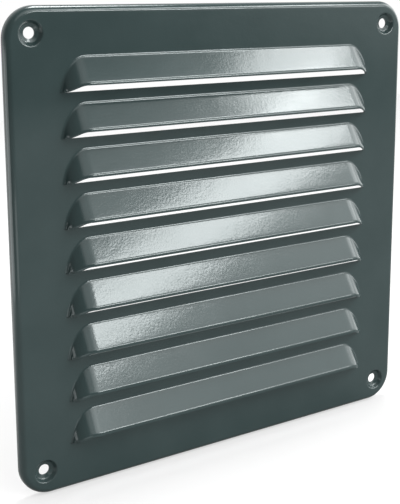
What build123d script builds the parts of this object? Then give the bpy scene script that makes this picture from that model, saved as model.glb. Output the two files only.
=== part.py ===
import math
import os

from build123d import *

os.makedirs("parts", exist_ok=True)

# Louvred wall vent pressed from one sheet. X runs to the right, Z up, and the front faces -Y.
# The origin is the centre of the wall plane, on which the turned edge rests.

# Plate: the rim's bend starts in from the edge by rim_start and ends behind the front by rim_drop
side = 230.0
sheet = 0.8
rim_depth = 5.0
rim_start = 3.0
rim_drop = 3.4
corner_radius = 15.0

# Louvres: the lip rises over lip_run from either end of the cut
louvre_count = 9
side_margin = 25.5
end_margin = 23.0
web = 5.2
lip_rise = 3.9
lip_run = 8.0
face_lean = 32.5
end_run = 15.0
crown_rise = 2.0
bend_radius = 1.5

# Screw dimples
screw_inset = 12.0
screw_hole = 5.3
dimple_mouth = 11.6
dimple_depth = 2.4

# Margin for picking edges
snap = 0.05

# Plate faces
front = -rim_depth
back = front + sheet
flat = side - 2 * rim_start

# Louvre layout: each louvre opens at a lanced cut, and reach is how far its lip stands out
pitch = (side - 2 * end_margin + web) / louvre_count
louvre_height = pitch - web
louvre_half = side / 2 - side_margin
lowest_cut = -side / 2 + end_margin
cuts = [(0, 0, lowest_cut + i * pitch) for i in range(louvre_count)]
lean = math.radians(face_lean)
reach = (louvre_height - lip_rise) * math.tan(lean)
strip_half = louvre_half + web / 2
strip_top = louvre_height + web / 2
lip_half = louvre_half - lip_run

# Louvre section: each end is a tip arc, starting a heel below the plate, then a flatter crown arc
hump = louvre_height * math.sin(lean)
heel = bend_radius
crest = hump + heel
tip_radius = crest - crown_rise
crown_radius = ((end_run - tip_radius) ** 2 + crest**2 - tip_radius**2) / (2 * crown_rise)
turn = math.degrees(math.atan2(crown_radius - crest, end_run - tip_radius))

# Screw layout, and the dimple's cone, whose back runs one sheet behind its front
screw_offset = side / 2 - screw_inset
screws = [(sx * screw_offset, 0, sz * screw_offset) for sx in (-1, 1) for sz in (-1, 1)]
mouth_radius = dimple_mouth / 2
hole_radius = screw_hole / 2
cone = math.atan2(dimple_depth, mouth_radius - hole_radius)
cone_back = mouth_radius - sheet * math.tan(cone / 2)
hole_front = front + dimple_depth
hole_back = hole_front + sheet / math.cos(cone)


def louvre(inset):
    """One louvre's hump on a strip of plate, its cut at z = 0, set in by inset."""
    half = louvre_half - inset
    face = front + inset
    slope = Plane(origin=(0, front, 0), x_dir=(1, 0, 0), z_dir=(0, -math.sin(lean), -math.cos(lean)))
    with BuildPart() as body:
        with BuildSketch(slope):
            with BuildLine():
                leg = Polyline((0, -pitch), (half, -pitch), (half, -heel))
                tip = JernArc(leg @ 1, (0, 1), tip_radius - inset, turn)
                crown = JernArc(tip @ 1, tip % 1, crown_radius - inset, 90 - turn)
                Line(crown @ 1, (0, hump - inset))
                mirror(about=Plane.YZ)
            make_face()
        extrude(amount=2 * pitch, both=True)
        with BuildSketch(Plane.YZ):
            with Locations((back, 0)):
                Rectangle(pitch, strip_top, align=(Align.MAX, Align.MIN))
        extrude(amount=strip_half, both=True, mode=Mode.INTERSECT)
        with BuildSketch(Plane.YZ):
            with Locations((face, 0)):
                Rectangle(sheet, strip_top, align=(Align.MIN, Align.MIN))
        extrude(amount=strip_half, both=True)
        root = body.edges().filter_by_position(Axis.Y, face - snap, face + snap)
        root = root.filter_by_position(Axis.X, snap - strip_half, strip_half - snap)
        root = root.filter_by_position(Axis.Z, snap, strip_top - snap)
        fillet(root, bend_radius + inset)
    return body.part


with BuildPart() as mouth:
    with BuildSketch(Plane.XZ.offset(-front)):
        Polygon((-louvre_half, 0), (-lip_half, lip_rise), (lip_half, lip_rise), (louvre_half, 0), align=None)
    extrude(amount=2 * reach)

with BuildPart() as dimple:
    with BuildSketch(Plane.XY):
        Polygon(
            (mouth_radius, front),
            (hole_radius, hole_front),
            (hole_radius, hole_back),
            (cone_back, back),
            (mouth_radius, back),
            align=None,
        )
    revolve(axis=Axis.Y)

with BuildSketch(Plane.XZ) as outline:
    RectangleRounded(side, side, corner_radius)
edge = outline.sketch.wire()

with BuildPart() as rim:
    with BuildSketch(Plane(origin=edge @ 0, x_dir=(0, 1, 0), z_dir=edge % 0)):
        with BuildLine():
            pivot = (front + rim_drop, rim_start)
            outer = EllipticalCenterArc(pivot, rim_drop, rim_start, start_angle=180, arc_size=90)
            inner = EllipticalCenterArc(pivot, rim_drop - sheet, rim_start - sheet, start_angle=180, arc_size=90)
            Line(outer @ 0, inner @ 0)
            Polyline(outer @ 1, (0, 0), (0, sheet), inner @ 1)
        make_face()
    sweep(path=edge)

with BuildPart() as hollow:
    with Locations(cuts):
        add(louvre(sheet))

with BuildPart() as louvred_grille:
    add(rim.part)
    with BuildSketch(Plane.XZ.offset(-back)):
        RectangleRounded(flat, flat, corner_radius - rim_start)
    extrude(amount=sheet)
    with Locations(cuts):
        add(louvre(0))
        add(mouth.part, mode=Mode.SUBTRACT)
    add(hollow.part, mode=Mode.SUBTRACT)
    with Locations(screws):
        Cylinder(mouth_radius, 4 * rim_depth, rotation=(90, 0, 0), mode=Mode.SUBTRACT)
        add(dimple.part)

louvred_grille.part.label = "louvred_grille"
export_step(louvred_grille.part, "parts/louvred_grille.step")
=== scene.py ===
import math

import bmesh
import bpy
import mathutils
from mathutils import Matrix, Vector


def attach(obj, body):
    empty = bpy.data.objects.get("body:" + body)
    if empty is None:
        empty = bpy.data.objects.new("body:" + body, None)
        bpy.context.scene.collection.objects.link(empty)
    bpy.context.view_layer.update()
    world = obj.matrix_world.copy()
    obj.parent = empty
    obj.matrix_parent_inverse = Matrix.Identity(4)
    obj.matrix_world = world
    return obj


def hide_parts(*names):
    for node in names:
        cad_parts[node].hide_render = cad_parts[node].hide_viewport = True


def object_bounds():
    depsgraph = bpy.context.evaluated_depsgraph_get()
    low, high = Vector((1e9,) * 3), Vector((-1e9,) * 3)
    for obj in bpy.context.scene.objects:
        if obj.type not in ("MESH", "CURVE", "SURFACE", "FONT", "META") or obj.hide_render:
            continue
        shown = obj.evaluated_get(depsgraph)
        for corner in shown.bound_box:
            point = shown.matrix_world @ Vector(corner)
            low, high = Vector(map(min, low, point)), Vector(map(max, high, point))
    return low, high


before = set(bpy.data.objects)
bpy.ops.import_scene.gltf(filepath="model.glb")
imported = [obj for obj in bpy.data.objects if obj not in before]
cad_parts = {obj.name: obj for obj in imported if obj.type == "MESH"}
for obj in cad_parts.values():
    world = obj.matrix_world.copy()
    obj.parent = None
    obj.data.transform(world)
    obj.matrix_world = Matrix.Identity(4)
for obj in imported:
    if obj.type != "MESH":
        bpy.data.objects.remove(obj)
cad_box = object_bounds()
scene = bpy.context.scene

# The same pressed sheet as the CAD node, in millimetres and radians, with finer bends and lips

# Plate: the rim's bend starts in from the edge by RIM_START and ends behind the front by RIM_DROP
SIDE = 230.0
SHEET = 0.8
RIM_DEPTH = 5.0
RIM_START = 3.0
RIM_DROP = 3.4
CORNER = 15.0

# Louvres: the lip rises over LIP_RUN from either end of the cut, its corner eased by a share of that run
COUNT = 9
SIDE_MARGIN = 25.5
END_MARGIN = 23.0
WEB = 5.2
LEAN = math.radians(32.5)
LIP_RISE = 3.6
LIP_RUN = 8.0
LIP_EASE = 0.3

# Louvre ends: a tip arc, then a crown that flattens by a power
END_RUN = 12.5
CROWN_RISE = 1.4
CROWN_POWER = 2.4

# Louvre bends: BEND round the ends, widening to HINGE along the top, and the lip's roll
BEND = 1.5
HINGE = 3.0
HINGE_POWER = 8
CURL = 3.0
CURL_TURN = math.radians(40)

# Screw dimples: over a brim, down a steep wall and round its foot to a shallow seat
SCREW_INSET = 12.0
HOLE = 5.3
MOUTH = 11.6
MOUTH_FLARE = 0.4
DIMPLE = 2.4
BRIM = 0.9
STEEP = math.radians(52)
FOOT = 1.6
SEAT = math.radians(20)

# Unevenness of the sheet, and the softening of cut edges, which is in metres
SWAY = 0.02
EDGE_WIDTH = 0.00022
EDGE_ANGLE = math.radians(50)

# Mesh steps
TIP_STEPS, CROWN_STEPS, FLAT_STEPS = 40, 24, 14
BEND_STEPS, FACE_STEPS, CURL_STEPS, CUT_STEPS = 8, 7, 6, 40
SPOKES, RING_STEPS = 48, 6
EDGE_STEPS, CORNER_STEPS, RIM_STEPS, WALL_STEPS = 40, 20, 12, 2
PLATE_STEPS = 50
HALVINGS = 40

# Plate points keep off the edge, the louvres' sides, feet and tops, the cuts, and other bends
PLATE_INSET = 4
SIDE_GAP, FOOT_GAP, TOP_GAP, BEND_GAP = 2, 3, 1.5, 1

# Layout
PITCH = (SIDE - 2 * END_MARGIN + WEB) / COUNT
HEIGHT = PITCH - WEB
HALF = SIDE / 2 - SIDE_MARGIN
LOWEST = END_MARGIN - SIDE / 2
HUMP = HEIGHT * math.sin(LEAN)
CREST = HUMP + BEND
TIP = CREST - CROWN_RISE
CROWN = ((END_RUN - TIP) ** 2 + CREST**2 - TIP**2) / (2 * CROWN_RISE)
TURN = math.atan2(CROWN - CREST, END_RUN - TIP)
SCREW = SIDE / 2 - SCREW_INSET
DIMPLE_START = MOUTH / 2 + MOUTH_FLARE
STRAIGHT = SIDE / 2 - CORNER

# Directions: out of the plate, out of a louvre's face, and down that face
OUT = Vector((0, -1, 0))
RISE = Vector((0, -math.cos(LEAN), math.sin(LEAN)))
RULE = Vector((0, -math.sin(LEAN), -math.cos(LEAN)))
BEHIND = -OUT * SHEET

# Scene in metres: the floor, the light away from every lamp, and a camera whose lens is in photo pixels
MM = 0.001
FLOOR_SIZE = 2.6
FLOOR_GAP = 0.0005
DIM = 0.25
EYE = Vector((-0.2627, -0.4015, 0.1207))
YAW, DIP, ROLL = math.radians(31.83), math.radians(-10.35), math.radians(-0.2)
LENS_PIXELS = 959.2
PHOTO_HEIGHT = 504
SENSOR = 36


class Sheet:
    """Front points with their offsets to the back, shared by place, and the faces between them."""

    def __init__(self):
        self.points, self.backs, self.faces, self.found = [], [], [], {}

    def point(self, place, back):
        key = tuple(round(c, 3) for c in place)
        if key not in self.found:
            self.found[key] = len(self.points)
            self.points.append(Vector(place))
            self.backs.append(Vector(back))
        return self.found[key]

    def face(self, *corners):
        ring = list(dict.fromkeys(corners))
        if len(ring) > 2:
            self.faces.append(ring)

    def grid(self, columns):
        for a, b in zip(columns, columns[1:]):
            for i in range(len(a) - 1):
                self.face(a[i], a[i + 1], b[i + 1], b[i])

    def mesh(self, name):
        """Both surfaces, joined along every free edge."""
        count = len(self.points)
        front = [p + sway(p) for p in self.points]
        places = [p * MM for p in front] + [(p + b) * MM for p, b in zip(front, self.backs)]
        uses = {}
        for ring in self.faces:
            for a, b in zip(ring, ring[1:] + ring[:1]):
                uses.setdefault((min(a, b), max(a, b)), []).append((a, b))
        free = [u[0] for u in uses.values() if len(u) == 1]
        walls = [(b, a, a + count, b + count) for a, b in free]
        backs = [[i + count for i in reversed(ring)] for ring in self.faces]
        made = bpy.data.meshes.new(name)
        made.from_pydata(places, [], self.faces + backs + walls)
        return made


def sway(p):
    """Very shallow unevenness of the pressed sheet, towards or away from the front, none at the wall."""
    slow = math.sin(p.x / 31 + 1.1) * math.sin(p.z / 27 + 0.4) + 0.6 * math.sin(p.x / 14 + p.z / 19)
    return Vector((0, SWAY * slow * min(-p.y / RIM_DEPTH, 1), 0))


def spread(start, end, steps):
    """steps + 1 even values from start to end."""
    return [start + (end - start) * i / steps for i in range(steps + 1)]


def looped(ring):
    """Each point of a closed ring with the next."""
    return zip(ring, ring[1:] + ring[:1])


def profile():
    """Points of half a louvre's section, tip to middle: x, height, and the section's outward direction."""
    made = []
    for a in spread(math.asin(BEND / TIP), TURN, TIP_STEPS):
        across, along = math.cos(a), math.sin(a)
        made.append((HALF - TIP + TIP * across, TIP * along - BEND, across, along))
    start, height, across, along = made[-1]
    crown = CROWN_POWER * (HUMP - height) * along / across
    for t in spread(0, 1, CROWN_STEPS)[1:]:
        slope = across / along * (1 - t) ** (CROWN_POWER - 1)
        size = math.hypot(slope, 1)
        rise = HUMP - (HUMP - height) * (1 - t) ** CROWN_POWER
        made.append((start - crown * t, rise, slope / size, 1 / size))
    for x in spread(start - crown, 0, FLAT_STEPS)[1:]:
        made.append((x, HUMP, 0.0, 1.0))
    return made


def over_lip(p):
    """How far a point lies above the lip's line."""
    t = (HALF - abs(p.x)) / LIP_RUN
    corner = max(LIP_EASE - abs(t - 1), 0) / LIP_EASE
    return p.z - LIP_RISE * (min(max(t, 0), 1) - LIP_EASE / 4 * corner**2)


def column(x, height, across, along):
    """One line over a louvre, with offsets to the back: the bend, the face and the lip's roll.

    There is none where the bend's centre lies below the cut.
    """
    normal = Vector((across, 0, 0)) + RISE * along
    bend = BEND + (HINGE - BEND) * along**HINGE_POWER
    tilt = math.acos(normal.dot(OUT))
    level = (normal - OUT * math.cos(tilt)).normalized()
    rule = (bend * (1 - math.cos(tilt)) - height * math.cos(LEAN)) / math.sin(LEAN)
    top = Vector((x, -RIM_DEPTH, 0)) + RISE * height + RULE * rule
    centre = top + normal * bend
    if centre.z < 0:
        return None

    def on_bend(a):
        n = OUT * math.cos(a) + level * math.sin(a)
        return centre - n * bend, n

    end = tilt
    if over_lip(top) < 0:
        low, high = 0.0, tilt
        for _ in range(HALVINGS):
            end = (low + high) / 2
            if over_lip(on_bend(end)[0]) > 0:
                low = end
            else:
                high = end
    made = [on_bend(a) for a in spread(0, end, BEND_STEPS)]
    if end == tilt:
        lip = over_lip(top) / (over_lip(top) - over_lip(top + RULE))
        turn = math.asin(min(CURL * math.sin(CURL_TURN), lip / 2) / CURL)
        start = top + RULE * (lip - CURL * math.sin(turn))
        made += [(top.lerp(start, t), normal) for t in spread(0, 1, FACE_STEPS)[1:]]
        for b in spread(0, turn, CURL_STEPS)[1:]:
            n = normal * math.cos(b) + RULE * math.sin(b)
            made.append((start + (n - normal) * CURL, n))
    else:
        made += [made[-1]] * (FACE_STEPS + CURL_STEPS)
    return [(p, n * -SHEET) for p, n in made]


def flipped(v):
    """A point or direction mirrored from right to left."""
    return Vector((-v.x, v.y, v.z))


def add_louvres(sheet):
    """All louvres. Returns the loop that each leaves open in the plate."""
    loops = []
    half = [c for c in (column(*p) for p in profile()) if c]
    mirrored = [[(flipped(p), flipped(b)) for p, b in c] for c in reversed(half[:-1])]
    end = half[0][0][0].x
    for i in range(COUNT):
        lift = Vector((0, 0, LOWEST + i * PITCH))
        columns = [[sheet.point(p + lift, b) for p, b in c] for c in half + mirrored]
        sheet.grid(columns)
        along_cut = spread(-end, end, CUT_STEPS)[1:-1]
        cut = [sheet.point(Vector((x, -RIM_DEPTH, 0)) + lift, BEHIND) for x in along_cut]
        loops.append([c[0] for c in columns] + cut)
    return loops


def dimple_rings():
    """Radius, depth and slope of each ring of a dimple, from the plate to the hole."""
    width = DIMPLE_START - HOLE / 2 - BRIM * math.sin(STEEP) - FOOT * (math.sin(STEEP) - math.sin(SEAT))
    drop = DIMPLE - BRIM * (1 - math.cos(STEEP)) - FOOT * (math.cos(SEAT) - math.cos(STEEP))
    wall = (drop * math.cos(SEAT) - width * math.sin(SEAT)) / math.sin(STEEP - SEAT)
    rings = []
    for a in spread(0, STEEP, RING_STEPS):
        rings.append((DIMPLE_START - BRIM * math.sin(a), BRIM * (1 - math.cos(a)), a))
    r = rings[-1][0] - wall * math.cos(STEEP) - FOOT * math.sin(STEEP)
    depth = rings[-1][1] + wall * math.sin(STEEP) - FOOT * math.cos(STEEP)
    for a in spread(STEEP, SEAT, RING_STEPS):
        rings.append((r + FOOT * math.sin(a), depth + FOOT * math.cos(a), a))
    rings.append((HOLE / 2, DIMPLE, SEAT))
    return rings


def add_dimples(sheet):
    """The four screw dimples. Returns the loop that each leaves open in the plate."""
    loops = []
    rings = dimple_rings()
    for sx in (-1, 1):
        for sz in (-1, 1):
            columns = []
            for j in range(SPOKES + 1):
                a = math.tau * (j % SPOKES) / SPOKES
                spoke = Vector((math.cos(a), 0, math.sin(a)))
                line = []
                for r, depth, slope in rings:
                    place = Vector((sx * SCREW, depth - RIM_DEPTH, sz * SCREW)) + spoke * r
                    behind = (OUT * math.cos(slope) - spoke * math.sin(slope)) * -SHEET
                    if (r, depth, slope) == rings[-1]:
                        behind = BEHIND / math.cos(SEAT)
                    line.append(sheet.point(place, behind))
                columns.append(line)
            sheet.grid(columns)
            loops.append([c[0] for c in columns[:-1]])
    return loops


def add_rim(sheet):
    """The turned edge. Returns the loop where it meets the plate."""
    walk = []
    for k in range(4):
        turn = Matrix.Rotation(-k * math.pi / 2, 3, "Y")
        for z in spread(-STRAIGHT, STRAIGHT, EDGE_STEPS)[:-1]:
            walk.append((turn @ Vector((STRAIGHT, 0, z)), turn @ Vector((1, 0, 0))))
        for a in spread(0, math.pi / 2, CORNER_STEPS)[:-1]:
            outward = turn @ Vector((math.cos(a), 0, math.sin(a)))
            walk.append((turn @ Vector((STRAIGHT, 0, STRAIGHT)), outward))
    walk.append(walk[0])
    columns = []
    for centre, outward in walk:
        line = []
        for a in spread(0, math.pi / 2, RIM_STEPS):
            p = centre + outward * (CORNER - RIM_START * (1 - math.sin(a)))
            p.y = RIM_DROP * (1 - math.cos(a)) - RIM_DEPTH
            normal = OUT * math.cos(a) / RIM_DROP + outward * math.sin(a) / RIM_START
            line.append(sheet.point(p, normal.normalized() * -SHEET))
        for y in spread(RIM_DROP - RIM_DEPTH, 0, WALL_STEPS)[1:]:
            p = centre + outward * CORNER
            p.y = y
            line.append(sheet.point(p, outward * -SHEET))
        columns.append(line)
    sheet.grid(columns)
    return [c[0] for c in columns[:-1]]


def encloses(loop, p):
    """Whether a flat loop goes round a point."""
    within = False
    for a, b in looped(loop):
        if (a.y > p.y) != (b.y > p.y) and p.x < a.x + (p.y - a.y) * (b.x - a.x) / (b.y - a.y):
            within = not within
    return within


def on_plate(x, z):
    """Whether a point of the plate's own grid is clear of the louvres, dimples and rim."""
    if abs(x) < HALF + SIDE_GAP and LOWEST - FOOT_GAP < z < LOWEST + COUNT * PITCH:
        if not HEIGHT + TOP_GAP < (z - LOWEST) % PITCH < PITCH - BEND_GAP:
            return False
    if math.hypot(abs(x) - SCREW, abs(z) - SCREW) < DIMPLE_START + BEND_GAP:
        return False
    to_corner = math.hypot(max(abs(x) - STRAIGHT, 0), max(abs(z) - STRAIGHT, 0))
    return to_corner <= CORNER - RIM_START - BEND_GAP


def add_plate(sheet, edge, loops):
    """The flat plate inside its edge, open at each of the loops."""
    bounds = [edge] + loops
    order = [i for loop in bounds for i in loop]
    at = {i: n for n, i in enumerate(order)}
    flat = [Vector((sheet.points[i].x, sheet.points[i].z)) for i in order]
    holes = [[flat[at[i]] for i in loop] for loop in loops]
    lines = [(at[a], at[b]) for loop in bounds for a, b in looped(loop)]
    steps = spread(PLATE_INSET - SIDE / 2, SIDE / 2 - PLATE_INSET, PLATE_STEPS)
    flat += [Vector((x, z)) for x in steps for z in steps if on_plate(x, z)]
    places, _, rings, *_ = mathutils.geometry.delaunay_2d_cdt(flat, lines, [], 1, 1e-5)
    index = [sheet.point(Vector((p.x, -RIM_DEPTH, p.y)), BEHIND) for p in places]
    for ring in rings:
        middle = sum((places[i] for i in ring), Vector((0, 0))) / len(ring)
        if not any(encloses(hole, middle) for hole in holes):
            sheet.face(*(index[i] for i in ring))


def node(tree, kind, **settings):
    """A new shader node with its sockets, or else its own settings, set by name."""
    made = tree.nodes.new(kind)
    for name, value in settings.items():
        key = name.replace("_", " ").title()
        if key in made.inputs:
            made.inputs[key].default_value = value
        else:
            setattr(made, name, value)
    return made


def noise(tree, where, scale, detail):
    """Noise fixed to the object."""
    made = node(tree, "ShaderNodeTexNoise", scale=scale, detail=detail)
    tree.links.new(where.outputs["Object"], made.inputs["Vector"])
    return made.outputs["Fac"]


def paint():
    """Gloss slate enamel: faint mottling, smears in the gloss, orange peel and a shallow ripple."""
    mat = bpy.data.materials.new("slate_paint")
    mat.use_nodes = True
    tree = mat.node_tree
    link = tree.links.new
    shader = tree.nodes["Principled BSDF"]
    where = node(tree, "ShaderNodeTexCoord")

    tint = node(tree, "ShaderNodeValToRGB")
    dark, light = tint.color_ramp.elements
    dark.position, dark.color = 0.3, (0.0224, 0.039, 0.039, 1)
    light.position, light.color = 0.7, (0.0281, 0.0462, 0.0462, 1)
    link(noise(tree, where, 38.0, 3.0), tint.inputs["Fac"])
    link(tint.outputs["Color"], shader.inputs["Base Color"])

    gloss = node(tree, "ShaderNodeMapRange", to_min=0.1, to_max=0.15)
    link(noise(tree, where, 60.0, 2.0), gloss.inputs["Value"])
    link(gloss.outputs["Result"], shader.inputs["Roughness"])

    ripple = node(tree, "ShaderNodeBump", strength=0.05, distance=0.0005)
    link(noise(tree, where, 170.0, 2.0), ripple.inputs["Height"])
    peel = node(tree, "ShaderNodeBump", strength=0.11, distance=0.0002)
    link(noise(tree, where, 900.0, 2.0), peel.inputs["Height"])
    link(ripple.outputs["Normal"], peel.inputs["Normal"])
    link(peel.outputs["Normal"], shader.inputs["Normal"])
    shader.inputs["IOR"].default_value = 1.5
    shader.inputs["Specular Tint"].default_value = (0.94, 1, 1, 1)
    return mat


def floor_paint():
    """Pale matte. White is added for the camera, and for gloss that sees the floor behind the plate."""
    mat = bpy.data.materials.new("floor")
    mat.use_nodes = True
    tree = mat.node_tree
    link = tree.links.new
    tree.nodes.clear()
    path = node(tree, "ShaderNodeLightPath")
    spot = node(tree, "ShaderNodeNewGeometry")
    split = node(tree, "ShaderNodeSeparateXYZ")
    link(spot.outputs["Position"], split.inputs["Vector"])
    behind = node(tree, "ShaderNodeMapRange", from_min=0.02, from_max=0.12)
    link(split.outputs["Y"], behind.inputs["Value"])
    mirrored = node(tree, "ShaderNodeMath", operation="MULTIPLY")
    link(path.outputs["Is Glossy Ray"], mirrored.inputs[0])
    link(behind.outputs["Result"], mirrored.inputs[1])
    seen = node(tree, "ShaderNodeMath", operation="MAXIMUM")
    link(path.outputs["Is Camera Ray"], seen.inputs[0])
    link(mirrored.outputs["Value"], seen.inputs[1])
    matte = node(tree, "ShaderNodeBsdfDiffuse", color=(0.36, 0.36, 0.36, 1))
    white = node(tree, "ShaderNodeEmission", color=(1, 1, 1, 1), strength=0.5)
    lit = node(tree, "ShaderNodeAddShader")
    mix = node(tree, "ShaderNodeMixShader")
    out = node(tree, "ShaderNodeOutputMaterial")
    link(seen.outputs["Value"], mix.inputs["Fac"])
    link(matte.outputs["BSDF"], mix.inputs[1])
    link(matte.outputs["BSDF"], lit.inputs[0])
    link(white.outputs["Emission"], lit.inputs[1])
    link(lit.outputs["Shader"], mix.inputs[2])
    link(mix.outputs["Shader"], out.inputs["Surface"])
    return mat


def studio():
    """Surroundings: white to the camera, and otherwise dim with soft glows."""
    world = bpy.data.worlds.new("studio")
    world.use_nodes = True
    tree = world.node_tree
    link = tree.links.new
    where = node(tree, "ShaderNodeTexCoord")

    def lobe(direction, low, high, strength):
        """Light from round one direction, fading in over the given range of cosines."""
        toward = node(tree, "ShaderNodeVectorMath", operation="DOT_PRODUCT")
        toward.inputs[1].default_value = Vector(direction).normalized()
        link(where.outputs["Generated"], toward.inputs[0])
        fade = node(
            tree,
            "ShaderNodeMapRange",
            interpolation_type="SMOOTHSTEP",
            from_min=low,
            from_max=high,
            to_max=strength,
        )
        link(toward.outputs["Value"], fade.inputs["Value"])
        return fade.outputs["Result"]

    # in turn: front right, front above, behind, right, a small one in front, and two for the right ends
    glows = [
        lobe((0.67, -0.62, 0.41), 0.84, 0.99, 2.3),
        lobe((0.07, -0.72, 0.69), 0.87, 0.985, 1.35),
        lobe((0.1, 1, 0.1), -0.1, 0.6, 0.7),
        lobe((0.97, 0.03, 0.23), 0.88, 0.97, 2.8),
        lobe((0.24, -0.81, 0.53), 0.98, 0.992, 2.0),
        lobe((0.64, -0.46, 0.62), 0.974, 0.9976, 0.7),
        lobe((0.81, -0.26, 0.53), 0.961, 0.9945, 3.5),
    ]
    level = glows[0]
    for glow in glows[1:]:
        both = node(tree, "ShaderNodeMath", operation="ADD")
        link(level, both.inputs[0])
        link(glow, both.inputs[1])
        level = both.outputs["Value"]
    base = node(tree, "ShaderNodeMath", operation="ADD")
    link(level, base.inputs[0])
    base.inputs[1].default_value = DIM
    path = node(tree, "ShaderNodeLightPath")
    pick = node(tree, "ShaderNodeMix", data_type="FLOAT")
    link(path.outputs["Is Camera Ray"], pick.inputs["Factor"])
    link(base.outputs["Value"], pick.inputs["A"])
    pick.inputs["B"].default_value = 1.0
    back = tree.nodes["Background"]
    back.inputs["Color"].default_value = (1, 1, 1, 1)
    link(pick.outputs["Result"], back.inputs["Strength"])
    return world


def softbox(name, azimuth, elevation, distance, width, height, radiance, tilt=0.0):
    """A rectangular lamp that faces the plate, its azimuth from straight in front towards the right."""
    a, e = math.radians(azimuth), math.radians(elevation)
    away = Vector((math.sin(a) * math.cos(e), -math.cos(a) * math.cos(e), math.sin(e)))
    lamp = bpy.data.lights.new(name, "AREA")
    lamp.shape = "RECTANGLE"
    lamp.size = width
    lamp.size_y = height
    lamp.energy = radiance * math.pi * width * height
    thing = bpy.data.objects.new(name, lamp)
    thing.visible_camera = False
    scene.collection.objects.link(thing)
    thing.matrix_world = (
        Matrix.Translation(away * distance)
        @ away.to_track_quat("Z", "Y").to_matrix().to_4x4()
        @ Matrix.Rotation(math.radians(tilt), 4, "Z")
    )


# Pressed sheet
sheet = Sheet()
loops = add_louvres(sheet) + add_dimples(sheet)
add_plate(sheet, add_rim(sheet), loops)
plate = bpy.data.objects.new("pressed_sheet", sheet.mesh("pressed_sheet"))
scene.collection.objects.link(plate)
shape = bmesh.new()
shape.from_mesh(plate.data)
bmesh.ops.recalc_face_normals(shape, faces=shape.faces)
shape.to_mesh(plate.data)
shape.free()
plate.data.shade_smooth()
soften = plate.modifiers.new("cut edges", "BEVEL")
soften.limit_method = "ANGLE"
soften.angle_limit = EDGE_ANGLE
soften.width = EDGE_WIDTH
soften.segments = 3
plate.modifiers.new("normals", "WEIGHTED_NORMAL")
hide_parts("louvred_grille")
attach(plate, "root")
plate.data.materials.append(paint())

# Floor just under the lower edge
bpy.ops.mesh.primitive_plane_add(size=FLOOR_SIZE, location=(0, 0, cad_box[0].z - FLOOR_GAP))
floor = bpy.context.object
floor.name = "floor"
floor.data.materials.append(floor_paint())

# Lights: the strips show in the louvre faces, the windows in bends and lips, and the left ones in left edges
scene.world = studio()
softbox("strip", 40.5, 40.5, 1.2, 0.61, 0.125, 14.0, tilt=5)
softbox("upper strip", 59, 45.5, 1.2, 0.22, 0.13, 10.7)
softbox("window", 24, 16, 1.4, 0.5, 0.2, 14.0)
softbox("window side", 41, 16, 1.4, 0.36, 0.2, 6.0)
softbox("key", 124, 75, 1.2, 0.45, 0.45, 17.0)
softbox("left", -105, -3, 0.42, 0.34, 0.2, 2.0)
softbox("low left", -36, -11, 0.36, 0.2, 0.075, 1.3)

# Camera
cam_data = bpy.data.cameras.new("camera")
cam = bpy.data.objects.new("camera", cam_data)
scene.collection.objects.link(cam)
ahead = Vector((math.sin(YAW) * math.cos(DIP), math.cos(YAW) * math.cos(DIP), math.sin(DIP)))
cam.matrix_world = (
    Matrix.Translation(EYE)
    @ ahead.to_track_quat("-Z", "Y").to_matrix().to_4x4()
    @ Matrix.Rotation(ROLL, 4, "Z")
)
cam_data.lens = LENS_PIXELS * SENSOR / PHOTO_HEIGHT
cam_data.shift_y = -0.17
cam_data.clip_start = 0.01
scene.camera = cam

scene.view_settings.view_transform = "Standard"
